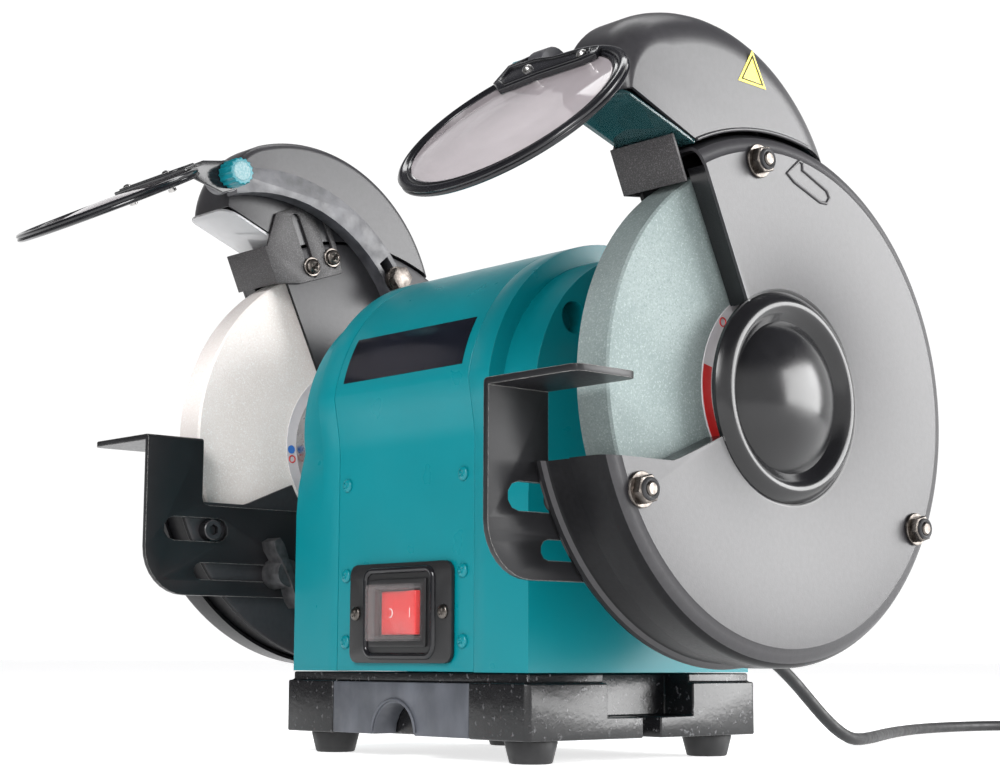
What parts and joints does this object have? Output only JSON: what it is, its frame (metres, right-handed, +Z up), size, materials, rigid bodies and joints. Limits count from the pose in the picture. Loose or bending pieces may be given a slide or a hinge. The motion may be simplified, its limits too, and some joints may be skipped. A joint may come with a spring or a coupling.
{
  "type": "bench grinder",
  "caption": "Double-ended bench grinder with guarded abrasive wheels, adjustable tool rests, spark arresters, swinging eye shields, a rocker switch and a mains lead.",
  "frame": {"origin": "middle of the machine's footprint box at the bottom of the feet, the mains lead left out", "axes": "+X along the wheel shaft to the user's right, -Y towards the user, +Z up"},
  "size_m": [0.42, 0.7212, 0.3291],
  "materials": {
    "teal_paint": "gloss enamel with light orange peel",
    "black_casting": "gloss black paint over rough sand casting",
    "black_coat": "satin black powder coat with a fine pebble",
    "gloss_black": "gloss moulded plastic",
    "grey_plastic": "matt moulded plastic",
    "red_plastic": "gloss moulded plastic",
    "clear_plastic": "clear moulded plastic",
    "steel": "turned and plated steel",
    "lamination_steel": "stacked sheet steel",
    "copper": null,
    "green_grit": "vitrified pale green abrasive",
    "white_grit": "vitrified off-white abrasive",
    "rubber": "matt black rubber",
    "knob_teal": "matt moulded plastic"
  },
  "bodies": {
    "frame": {"base_casting": "black_casting", "base_insert": "grey_plastic", "foot_front_left": "rubber", "foot_front_right": "rubber", "foot_rear_left": "rubber", "foot_rear_right": "rubber", "body_shell": "teal_paint", "end_bell_left": "teal_paint", "end_bell_right": "teal_paint", "stator_core": "lamination_steel", "stator_winding": "copper", "bearing_left": "steel", "bearing_right": "steel", "guard_body_left": "black_coat", "guard_body_right": "black_coat", "guard_cover_left": "black_coat", "guard_cover_right": "black_coat", "cover_nut_left_1": "steel", "cover_nut_left_2": "steel", "cover_nut_left_3": "steel", "cover_nut_right_1": "steel", "cover_nut_right_2": "steel", "cover_nut_right_3": "steel", "hood_left": "black_coat", "hood_right": "black_coat", "spark_plate_left": "clear_plastic", "spark_plate_right": "clear_plastic", "arm_bolt_left": "steel", "arm_bolt_right": "steel", "switch_bezel": "gloss_black", "switch_cap": "clear_plastic", "strain_relief": "rubber", "cord": "rubber", "cord_coil": "rubber", "plug": "rubber"},
    "rotor": {"rotor_shaft": "steel", "rotor_core": "lamination_steel", "wheel_left": "white_grit", "wheel_right": "green_grit", "inner_flange_left": "steel", "inner_flange_right": "steel", "outer_flange_left": "steel", "outer_flange_right": "steel", "wheel_nut_left": "steel", "wheel_nut_right": "steel"},
    "rocker": {"switch_rocker": "red_plastic"},
    "rest_left": {"tool_rest_left": "black_coat"},
    "rest_right": {"tool_rest_right": "black_coat"},
    "wing_left": {"wing_bolt_left": "steel"},
    "wing_right": {"wing_bolt_right": "steel"},
    "arrester_left": {"spark_arrester_left": "black_coat"},
    "arrester_right": {"spark_arrester_right": "black_coat"},
    "arm_left": {"shield_arm_left": "black_coat"},
    "arm_right": {"shield_arm_right": "black_coat"},
    "shield_left": {"lens_frame_left": "gloss_black", "lens_left": "clear_plastic"},
    "shield_right": {"lens_frame_right": "gloss_black", "lens_right": "clear_plastic"},
    "knob_left": {"shield_knob_left": "knob_teal"},
    "knob_right": {"shield_knob_right": "knob_teal"}
  },
  "joints": [
    {"name": "rotor_spin", "type": "hinge", "parent": "frame", "child": "rotor", "pos_m": [0, 0.0427, 0.162], "axis": [1, 0, 0], "continuous": true},
    {"name": "switch_rock", "type": "hinge", "parent": "frame", "child": "rocker", "pos_m": [0, -0.0323, 0.0674], "axis": [0, 0, 1], "range_deg": [0, 16]},
    {"name": "rest_slide_left", "type": "slide", "parent": "frame", "child": "rest_left", "axis": [0, 1, 0], "range_m": [-0.004, 0.0025]},
    {"name": "wing_turn_left", "type": "hinge", "parent": "frame", "child": "wing_left", "pos_m": [-0.12, -0.0183, 0.0903], "axis": [1, 0, 0], "range_deg": [-180, 180]},
    {"name": "arrester_slide_left", "type": "slide", "parent": "frame", "child": "arrester_left", "axis": [0, -0.4035, 0.915], "range_m": [-0.0015, 0]},
    {"name": "arm_swing_left", "type": "hinge", "parent": "frame", "child": "arm_left", "pos_m": [-0.125, 0.05398, 0.25797], "axis": [1, 0, 0], "range_deg": [-15, 3]},
    {"name": "shield_tilt_left", "type": "hinge", "parent": "arm_left", "child": "shield_left", "pos_m": [-0.1199, -0.0598, 0.298], "axis": [1, 0, 0], "range_deg": [-28, 35]},
    {"name": "knob_turn_left", "type": "hinge", "parent": "arm_left", "child": "knob_left", "pos_m": [-0.112, -0.0598, 0.298], "axis": [1, 0, 0], "range_deg": [-180, 180]},
    {"name": "rest_slide_right", "type": "slide", "parent": "frame", "child": "rest_right", "axis": [0, 1, 0], "range_m": [-0.002, 0.0045]},
    {"name": "wing_turn_right", "type": "hinge", "parent": "frame", "child": "wing_right", "pos_m": [0.12, -0.0183, 0.0903], "axis": [1, 0, 0], "range_deg": [-180, 180]},
    {"name": "arrester_slide_right", "type": "slide", "parent": "frame", "child": "arrester_right", "axis": [0, -0.4035, 0.915], "range_m": [-0.0015, 0]},
    {"name": "arm_swing_right", "type": "hinge", "parent": "frame", "child": "arm_right", "pos_m": [0.125, 0.05398, 0.25797], "axis": [1, 0, 0], "range_deg": [-15, 3]},
    {"name": "shield_tilt_right", "type": "hinge", "parent": "arm_right", "child": "shield_right", "pos_m": [0.1199, -0.0598, 0.298], "axis": [1, 0, 0], "range_deg": [-48, 15]},
    {"name": "knob_turn_right", "type": "hinge", "parent": "arm_right", "child": "knob_right", "pos_m": [0.112, -0.0598, 0.298], "axis": [1, 0, 0], "range_deg": [-180, 180]}
  ]
}
